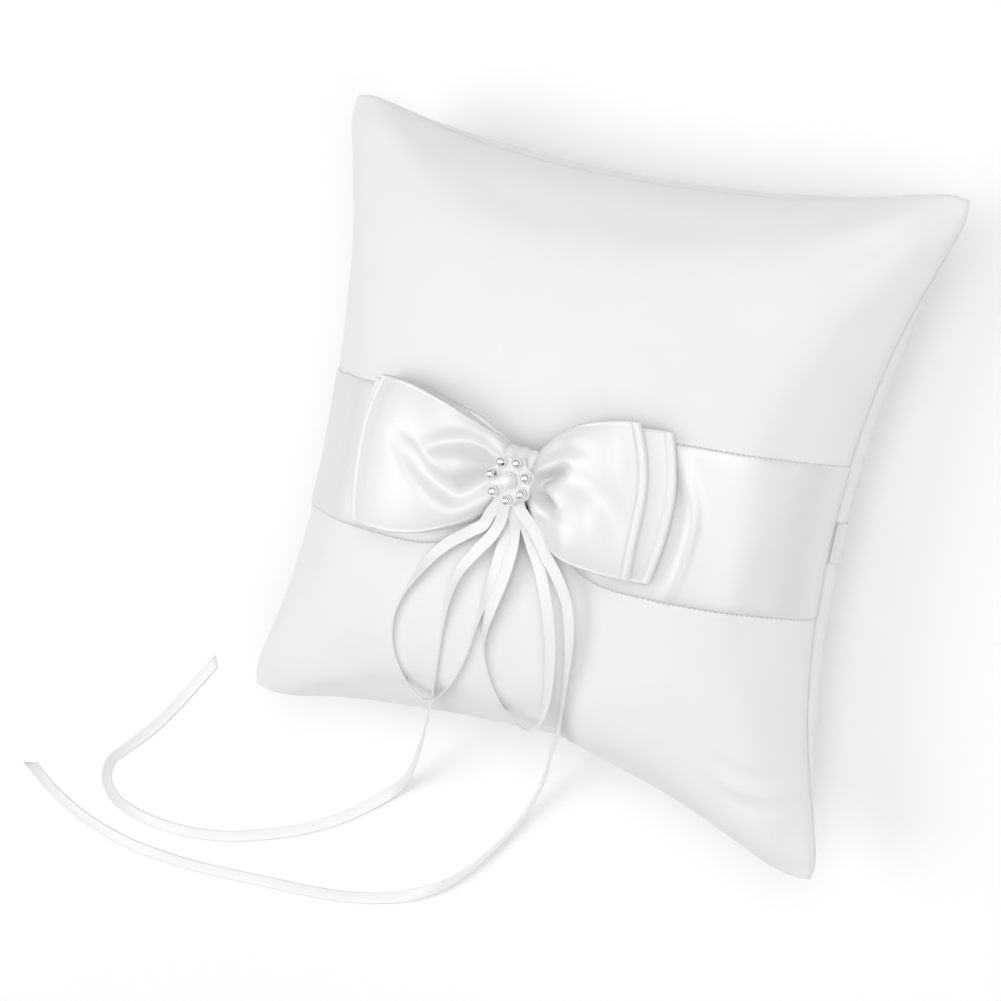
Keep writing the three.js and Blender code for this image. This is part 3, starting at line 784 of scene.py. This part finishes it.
def hump(out, reach):
    """How far a loop is blown open: 0 at its neck and its fold, 1 between them."""
    start = NECK_ZONE[0]
    return np.sin(math.pi * np.clip((out - start) / (reach - start), 0, 1))


def top_high(side, out, x, y, w):
    """Height of the uppermost layer, with its shoulder, creases and bulges."""
    reach = REACH[side][1]
    lift = blend(8.8, 6.9 + 3.6 * hump(out, reach), smooth(out, *NECK_ZONE)) * MM
    shoulder = (1.7 if side == "right" else 1.0) * MM
    lift = lift + shoulder * np.exp(-((out - 6.5 * MM) / (4 * MM)) ** 2)
    lift = lift - 1.9 * MM * w ** 2 * (1 - 0.75 * smooth(out, 20 * MM, reach))
    fade = smooth(out, 3.5 * MM, 7 * MM)
    for line, depth, width in CREASES[side]:
        lift = lift - fade * depth * near_line(x, y, line, width)
    for bx, by, height, radius in BULGES[side]:
        square = ((x / MM - bx) ** 2 + (y / MM - by) ** 2) / radius ** 2
        lift = lift + fade * height * MM * np.exp(-square)
    return np.maximum(lift, 3.6 * MM)


def layer_heights(side, out, x, y, w):
    """Heights of the bow's four layers above its base, from the lowest up."""
    gather = smooth(out, 7 * MM, 18 * MM)
    under = REACH[side][0]
    droop = blend(2.0, 0.6, smooth(out, 6 * MM, 24 * MM)) * MM * w ** 4
    high = top_high(side, out, x, y, w) - 1.3 * droop
    under_low = blend(4.3, 2.3, gather) * MM - droop
    under_high = blend(5.4, 3.6 + 1.2 * hump(out, under), gather) * MM - droop
    top_low = np.minimum(under_high + 0.7 * MM, high - LAYER_GAP)
    under_high = np.minimum(under_high, top_low - LAYER_GAP)
    under_low = np.minimum(under_low, under_high - LAYER_GAP)
    return under_low, under_high, top_low, high


def outline(pairs, out):
    """A loop's half width at each distance out."""
    curve = through([(a * MM, b * MM, 0) for a, b in pairs], 90)
    return np.interp(out, curve[:, 0], curve[:, 1])


def loop_points(side, layer, along, across):
    """One loop: out along its lower sheet, round the fold and back along the upper one."""
    sign = -1 if side == "left" else 1
    top_drop, bottom_drop = END_CURVE[side][layer]
    w, t = np.meshgrid(across, along, indexing="ij")
    turn = np.clip((t - TURN_FROM) / TURN_SPAN, 0, 1)
    angle = (turn - 0.5) * math.pi
    run = np.clip(np.where(t < 0.5, t, 1 - t) / TURN_FROM, 0, 1)
    drop = top_drop * np.maximum(w, 0) ** 2 + bottom_drop * np.maximum(-w, 0) ** 2
    reach = REACH[side][layer] - FOLD_RADIUS - drop
    out = blend(NECK_START, reach, run) + FOLD_RADIUS * np.cos(angle)
    upper, lower = (outline(pairs, out) for pairs in OUTLINE[side])
    half = np.where(w > 0, upper, lower) * (1 if layer else UNDER_WIDTH)
    half = blend(half, (upper + lower) / 2, (1 - np.minimum(1, 3 * np.abs(w))) ** 2)
    x = sign * out
    y = BOW_Y + BOW_SLOPE * x + w * half - (0 if layer else UNDER_SHIFT)
    under_low, under_high, top_low, high = layer_heights(side, out, x, y, w)
    low, high = (top_low, high) if layer else (under_low, under_high)
    from_end = reach + FOLD_RADIUS - out
    pressed = smooth(from_end, 0.2 * MM, 7 * MM)
    middle = blend(low, high, 0.45)
    high = blend(middle + 0.55 * MM, high, pressed)
    low = blend(middle - 0.55 * MM, low, pressed)
    lip = LIP_HEIGHT * np.exp(-((from_end - LIP_AT) / LIP_WIDTH) ** 2)
    edge = np.exp(-((0.985 - np.abs(w)) / 0.012) ** 2)
    lip = lip - EDGE_CORD * edge * smooth(from_end, 0, 3 * MM)
    z = bow_base(x, y) + blend(low, high - lip, (np.sin(angle) + 1) / 2)
    return np.stack([x, y, z], -1)


LOOP_ROWS = 84  # across the ribbon, without those of its woven edges


def make_bow_loop(side, layer, material):
    along = np.concatenate([np.linspace(0, 0.455, 60), np.linspace(0.46, 0.54, 21),
                            np.linspace(0.545, 1, 130)])
    points = loop_points(side, layer, along, edge_rows(LOOP_ROWS, LOOP_EDGE))
    name = f"bow_{'top' if layer else 'under'}_loop_{side}"
    loop = grid_object(name + "_ribbon", points, material, flip=side == "right")
    thicken(loop, BOW_THICKNESS, 0)
    belong(loop, "ribbon_satin", name)


def rounded(angle, power):
    """Distance of a rounded square's edge from its middle."""
    return (np.abs(np.cos(angle)) ** power + np.abs(np.sin(angle)) ** power) ** (-1 / power)


def make_knot(material):
    """The ribbon wrapped round the necks, gathered into soft folds."""
    low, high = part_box("bow_knot")
    centre = middle_of("bow_knot")
    length, width, height = 7.6 * MM, high[1] - low[1] - 0.4 * MM, high[2] - low[2]
    around = np.linspace(0, 2 * math.pi, 97)[:-1]
    along = np.linspace(-1, 1, 33)
    s, a = np.meshgrid(along, around, indexing="ij")
    squared = rounded(a, 2.4)
    folds = 0.22 * MM * np.cos(s * 2.5 * math.pi + 0.5 * np.sin(a * 2)) - 0.5 * MM * s ** 4
    x = centre[0] - 0.3 * MM + s * length / 2 * (1 + 0.08 * np.cos(a))
    y = centre[1] + (width / 2 - 0.6 * MM + folds) * squared * np.cos(a)
    z = centre[2] + (height / 2 - 0.45 * MM + folds) * squared * np.sin(a)
    knot = wrapped("bow_knot_ribbon", x, y, z, material)
    thicken(knot, BOW_THICKNESS, -1)
    belong(knot, "ribbon_satin", "bow_knot")


def make_tie(material):
    """A narrow ribbon wrapped behind the four hanging ribbons, under the cluster."""
    low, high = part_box("ribbon_tie")
    around = np.linspace(0, 2 * math.pi, 65)[:-1]
    across = np.linspace(-1, 1, 13)
    s, a = np.meshgrid(across, around, indexing="ij")
    squared = rounded(a, 3)
    belly = 0.15 * MM * (1 - s ** 2)
    x = (low[0] + high[0]) / 2 + ((high[0] - low[0]) / 2 - 0.4 * MM) * squared * np.cos(a)
    y = (low[1] + high[1]) / 2 + s * (high[1] - low[1]) / 2 + 0.1 * MM * np.sin(3 * a)
    z = low[2] + 1.3 * MM + (0.9 * MM + belly) * squared * np.sin(a)
    tie = wrapped("ribbon_tie_wrap", x, y, z, material)
    thicken(tie, THIN_RIBBON, -1)
    belong(tie, "ribbon_satin", "ribbon_tie")


# ---- narrow ribbon ----

# The routes are (x, y, z) in millimetres, as in the CAD model but carried on over the knot to the
# cluster, and then how far the ribbon is turned on edge, from 0 to 1.
LOOP_LEFT = [
    (-1.6, -4.8, 58.6, 0), (-3.5, -8.2, 57.8, 0), (-5.7, -11.2, 56.2, 0), (-7.6, -14.6, 55, 0.03),
    (-11.1, -17.3, 54.5, 0.09), (-16.5, -21.8, 55, 0.13), (-21, -27, 54.8, 0.3),
    (-25, -33, 53.8, 0.6), (-28.8, -39.5, 52.2, 0.85), (-31.4, -47, 50, 0.94),
    (-31.6, -54.5, 47.4, 0.95), (-29.4, -61, 45, 0.95), (-25.6, -66, 43, 0.95),
    (-21, -67.6, 42.8, 0.95), (-16.2, -64, 44.2, 0.95), (-11.8, -57.5, 46.8, 0.95),
    (-8.4, -49.5, 49.8, 0.9), (-6.4, -41.5, 52.2, 0.75), (-4.2, -33.5, 54, 0.5),
    (-2.4, -26, 54.8, 0.21), (-1.6, -18.8, 54.6, 0.05), (-1, -13.6, 55.4, 0),
    (-0.8, -10.6, 56.7, 0), (-0.6, -7.8, 57.9, 0), (-0.4, -4.8, 58.7, 0),
]
LOOP_RIGHT = [
    (0.6, -4.8, 58.9, 0), (0.9, -7.8, 58.1, 0), (1.2, -10.6, 56.9, 0), (1.4, -13.8, 55.5, 0),
    (1.2, -18.6, 54.5, 0), (0.6, -26.5, 55, 0.04), (-1.6, -34.5, 54, 0.09),
    (-3.4, -41.5, 52.4, 0.5), (-3.8, -48, 50.2, 0.8), (-2.2, -55, 47.4, 0.92),
    (0.8, -61.5, 44.2, 0.95), (4.4, -66, 41.4, 0.95), (8.2, -67, 40.8, 0.95),
    (12, -63.6, 42.6, 0.8), (14.4, -57, 46, 0.5), (15.6, -48, 50, 0.25),
    (15.4, -38.5, 53, 0.09), (13.4, -29.5, 54.8, 0), (9.8, -21.8, 54.6, 0), (6.6, -16.8, 54.6, 0),
    (4.7, -12.6, 55.8, 0), (3.1, -8.6, 57.7, 0), (1.9, -4.8, 58.6, 0),
]
TAIL_LEFT = [
    (-0.8, -4.8, 59.2, 0), (-1.3, -8.4, 58.3, 0), (-2.2, -12.2, 56.8, 0),
    (-4.4, -16.6, 55.7, 0.03), (-8.4, -22.2, 55.4, 0.12), (-12.2, -28.4, 55, 0.32),
    (-14.8, -36, 53.4, 0.5), (-16.6, -45, 50.6, 0.58), (-17.8, -54.5, 47.4, 0.7),
    (-19.4, -63, 43.4, 0.82), (-21.6, -70.6, 38.6, 0.86), (-24.6, -77, 32, 0.86),
    (-28, -82.6, 25, 0.82), (-32, -88.6, 18, 0.7), (-36.6, -97.2, 10.6, 0.61),
    (-41.2, -104.8, 5, 0.5), (-46.4, -111, 1.8, 0.22), (-54, -118.2, 1.2, 0.07),
    (-63.4, -125.8, 1.2, 0.04), (-75.6, -133.4, 1.2, 0.04), (-89.4, -140, 1.2, 0.04),
    (-103.8, -145.4, 1.2, 0.04), (-118.6, -148.6, 1.2, 0.07), (-132.8, -149.4, 1.2, 0.22),
    (-143.4, -147.6, 1.2, 0.43), (-149.6, -142.4, 1.2, 0.5), (-149.8, -135.4, 1.2, 0.43),
    (-144.8, -129.4, 1.2, 0.29), (-137.4, -121.6, 1.2, 0.18), (-130, -112, 1.2, 0.14),
    (-123, -101.6, 1.2, 0.07), (-117, -92.4, 1.2, 0),
]
TAIL_RIGHT = [
    (1.4, -4.8, 59, 0), (3.3, -8.1, 58.2, 0), (6, -11, 57, 0), (8.8, -14.4, 56.1, 0),
    (11.5, -17.9, 55.9, 0), (15, -21.6, 56, 0.04), (18.4, -27.2, 55.2, 0.11),
    (20, -34, 53.8, 0.25), (20.2, -41, 51.8, 0.43), (19.6, -48, 49.4, 0.58),
    (18.6, -55, 46.2, 0.72), (17.2, -62, 42, 0.8), (15, -68.4, 36.2, 0.86),
    (12.4, -72.6, 30, 0.88), (9.6, -75.8, 23.6, 0.88), (6.8, -81.4, 16.6, 0.88),
    (3.6, -88.4, 10, 0.86), (0.2, -96.6, 5, 0.84), (-6, -108.8, 1.8, 0.82),
    (-14.2, -121.4, 1.2, 0.76), (-22.8, -131.4, 1.2, 0.55), (-32.4, -138.6, 1.2, 0.25),
    (-41.6, -143.4, 1.2, 0.07), (-54, -147.8, 1.2, 0.04), (-68, -151, 1.2, 0.04),
    (-86.6, -154.2, 1.2, 0.07), (-108.6, -157.8, 1.2, 0.07), (-124.6, -159.4, 1.2, 0.11),
    (-140.6, -159.6, 1.2, 0.18), (-157.4, -157.2, 1.2, 0.29), (-170.6, -152.6, 1.2, 0.36),
    (-180.6, -147, 1.2, 0.5),
]
LEAN = np.array([0.43, 0.17, 0.89])  # the way that a ribbon on edge leans
RIBBON_STEP = 0.8 * MM  # spacing of the rows along a narrow ribbon
ON_EDGE_SINK = 1.8 * MM  # a ribbon on edge lies this much lower on the face
ROUTE_REST = 1.2 * MM  # height of the routes where they lie on the floor
FLAT_REST = 0.25 * MM  # height of a flat ribbon's middle above the floor


def face_normals(places):
    """The face's normal under each place, turning to straight up beyond the bottom edge."""
    x, y = places[:, 0], places[:, 1]
    u = across_at(x)
    v = np.clip(y / half_height(u, y > 0), -0.9, 0.9)
    normals = normals_of(face_point, u, v)
    up = np.array([0, 0, 1.0])
    share = smooth(-y, 45 * MM, 75 * MM)[:, None]
    normals = blend(normals, up, share)
    return normals / np.linalg.norm(normals, axis=1, keepdims=True)


def flat_ribbon(name, node, route, far_end, material, cut):
    """A narrow ribbon along route. Its far end is cut at a slant, cut longer on one edge."""
    route = np.array(route) * (MM, MM, MM, 1)
    length = float(np.linalg.norm(np.diff(through(route, 400)[:, :3], axis=0), axis=1).sum())
    line = through(route, int(length / RIBBON_STEP))
    centre, turn = line[:, :3].copy(), np.clip(line[:, 3:], 0, 1)
    tangent = np.gradient(centre, axis=0)
    tangent /= np.linalg.norm(tangent, axis=1, keepdims=True)
    up = face_normals(centre)
    up -= tangent * (up * tangent).sum(1, keepdims=True)
    up /= np.linalg.norm(up, axis=1, keepdims=True)
    side = np.cross(up, tangent)
    if far_end == "object":  # a loop's way back must not turn its face over
        side *= np.sign(side[:, :1] + 1e-9)
    lean = LEAN - tangent * (LEAN * tangent).sum(1, keepdims=True)
    lean /= np.linalg.norm(lean, axis=1, keepdims=True)
    across = side * (1 - turn) + lean * turn
    across /= np.linalg.norm(across, axis=1, keepdims=True)
    facing = np.cross(tangent, across)
    centre -= up * ON_EDGE_SINK * turn * smooth(centre[:, 2:], 30 * MM, 42 * MM)
    rest = centre[:, 2] - ROUTE_REST + FLAT_REST + NARROW_WIDTH / 2 * np.abs(across[:, 2])
    centre[:, 2] = blend(rest, centre[:, 2], smooth(centre[:, 2], 3 * MM, 14 * MM))
    rows = []
    for share in (-1, -0.9, -0.78, 0, 0.78, 0.9, 1):
        row = centre + across * share * NARROW_WIDTH / 2
        row += facing * 0.05 * MM * (abs(share) == 0.9)
        row[-1] += tangent[-1] * cut * (1 + share) / 2
        rows.append(row)
    ribbon = grid_object(name, np.array(rows), material)
    thicken(ribbon, THIN_RIBBON, 0)
    belong(ribbon, "ribbon_satin", node)


# ---- cluster and thread ----

BEADS = 7
FIRST_BEAD = math.radians(123)
BEAD_RADIUS = 1.25 * MM
BEAD_CIRCLE = 4.9 * MM  # radius of the ring of beads
PEARL_RADIUS = 1.9 * MM
PLATE_RADIUS, SCALLOP = 6.05 * MM, 0.5 * MM
PLATE_RINGS, PLATE_SPOKES = 44, 168


def turned(name, centre, profile, material, squeeze=0.0, around=40):
    """A shape turned on an upright axis, from (radius, height) pairs; squeeze flutes it."""
    radius, height = np.array(profile).T
    r, a = np.meshgrid(radius, np.linspace(0, 2 * math.pi, around + 1)[:-1])
    z = np.broadcast_to(height, r.shape)
    r = r * (1 + squeeze * np.cos(2 * a - z / (0.5 * MM)))
    points = np.stack([centre[0] + r * np.cos(a), centre[1] + r * np.sin(a), centre[2] + z], -1)
    return spun(name, points, material)


def ball(radius, low, high, count=17):
    angles = np.radians(np.linspace(low, high, count))
    return [(radius * math.cos(a), radius * math.sin(a)) for a in angles]


def make_plate(material):
    """A scalloped disc with a raised cup for each bead and a larger one for the pearl."""
    low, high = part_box("cluster_plate")
    centre = middle_of("cluster_plate")
    rings = np.concatenate([np.linspace(0.005, 1, PLATE_RINGS), [0.99, 0.5, 0.005]])
    share, angle = np.meshgrid(rings, np.linspace(0, 2 * math.pi, PLATE_SPOKES + 1)[:-1])
    edge = PLATE_RADIUS + SCALLOP * np.cos(BEADS * (angle - FIRST_BEAD))
    r = share * edge
    x, y = r * np.cos(angle), r * np.sin(angle)
    z = np.full_like(r, high[2] - 0.35 * MM)
    z += 0.25 * MM * np.exp(-((r - 2.45 * MM) / (0.4 * MM)) ** 2)
    for i in range(BEADS):
        turn = FIRST_BEAD + i * 2 * math.pi / BEADS
        away = np.hypot(x - BEAD_CIRCLE * math.cos(turn), y - BEAD_CIRCLE * math.sin(turn))
        z += 0.3 * MM * np.exp(-((away - 1.5 * MM) / (0.26 * MM)) ** 2)
    z -= 0.3 * MM * smooth(share, 0.93, 1.0)
    z[:, PLATE_RINGS:] = low[2] + 0.05 * MM
    points = np.stack([centre[0] + x, centre[1] + y, z], -1)
    plate = spun("cluster_cups", points, material)
    belong(plate, "cluster_base", "cluster_plate")


def make_cluster(silver, pearl, plastic):
    make_plate(plastic)
    for i in range(BEADS):
        node = f"bead_{i + 1}"
        collar = [(0.0, -1.0), (0.95, -1.0), (1.12, -0.86), (1.1, -0.7), (0.98, -0.66)]
        profile = [(r * MM, z * MM) for r, z in collar] + ball(BEAD_RADIUS, -38, 82)
        profile += [(0.1 * MM, 1.19 * MM), (0.0, 1.1 * MM)]
        bead = turned(f"silver_{node}", middle_of(node), profile, silver)
        belong(bead, "silver_bead", node)
    flange = [(0.0, -1.35), (1.95, -1.35), (2.02, -1.2), (1.98, -1.05), (1.84, -0.9)]
    profile = [(r * MM, z * MM) for r, z in flange] + ball(PEARL_RADIUS, -24, 90, 25)
    belong(turned("pearl_dome", middle_of("centre_pearl"), profile, pearl, around=64),
           "pearl", "centre_pearl")


THREAD_RADIUS = 0.36 * MM
KNOT_RADIUS, KNOT_REACH = 1.3 * MM, 1.4 * MM  # of the knot at each end, half its length


def make_thread(material):
    """Two-ply sewing thread through the pillow's middle, with a knot at each end."""
    low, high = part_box("tack_thread")
    centre = middle_of("tack_thread")
    half = (high[2] - low[2]) / 2
    profile = [(0.0, -half)]
    for share in np.linspace(-1, 1, 241)[1:-1]:
        height = share * half
        knot = math.sqrt(max(0, 1 - ((half - abs(height)) / KNOT_REACH - 1) ** 2))
        profile.append((max(THREAD_RADIUS, KNOT_RADIUS * knot), height))
    profile.append((0.0, half))
    thread = turned("thread_two_ply", centre, profile, material, squeeze=0.12)
    belong(thread, "tack_thread", "tack_thread")


# ---- the whole pillow ----

make_camera()
cover_satin = woven_material("cover_satin", (0.85, 0.85, 0.845), 0.5, 0.3, 0.25 * MM, 0.12, 0.15)
# painted light and shade: the bow and the band are one ribbon; the bow's copy is painted lighter and
# the band's copy, also used on the strap, painted darker
lit_bow_satin = woven_material("lit_bow_satin", (0.83, 0.83, 0.83), 0.47, 0.9, 0.2 * MM, 0.05, 0.1, 1.85)
shaded_band_satin = woven_material("shaded_band_satin", (0.77, 0.77, 0.77), 0.44, 1.0, 0.2 * MM, 0.05, 0.1, 2.1)
narrow_satin = woven_material("narrow_satin", (0.87, 0.87, 0.87), 0.45, 0.8, 0.3 * MM, 0.3, 0.1, 1.6)
fibre_fill = grained_material("fibre_fill", (0.9, 0.9, 0.88), 0.9, 0.0, 220, 1.0, 0.05)
thread = grained_material("tack_thread", (0.9, 0.9, 0.88), 0.6, 0.0, 2500, 0.6)
silver = silver_material()
pearl = pearl_material()
plastic = plate_material()

for name, node, route, far_end, cut in (
    ("narrow_loop_left", "ribbon_loop_left", LOOP_LEFT, "object", 0),
    ("narrow_loop_right", "ribbon_loop_right", LOOP_RIGHT, "object", 0),
    ("narrow_tail_left", "ribbon_tail_left", TAIL_LEFT, "bare", 2 * MM),
    ("narrow_tail_right", "ribbon_tail_right", TAIL_RIGHT, "bare", 3 * MM),
):
    flat_ribbon(name, node, route, far_end, narrow_satin, cut)

make_surroundings()
front, rear = make_cover(cover_satin)
make_stuffing(fibre_fill)
make_band(surface_tree(front), shaded_band_satin)
make_strap(surface_tree(rear), shaded_band_satin)
for side in ("left", "right"):
    for layer in (0, 1):
        make_bow_loop(side, layer, lit_bow_satin)
make_knot(lit_bow_satin)
make_tie(narrow_satin)
make_cluster(silver, pearl, plastic)
make_thread(thread)
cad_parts["cluster_shank"].data.materials.clear()
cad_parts["cluster_shank"].data.materials.append(plastic)
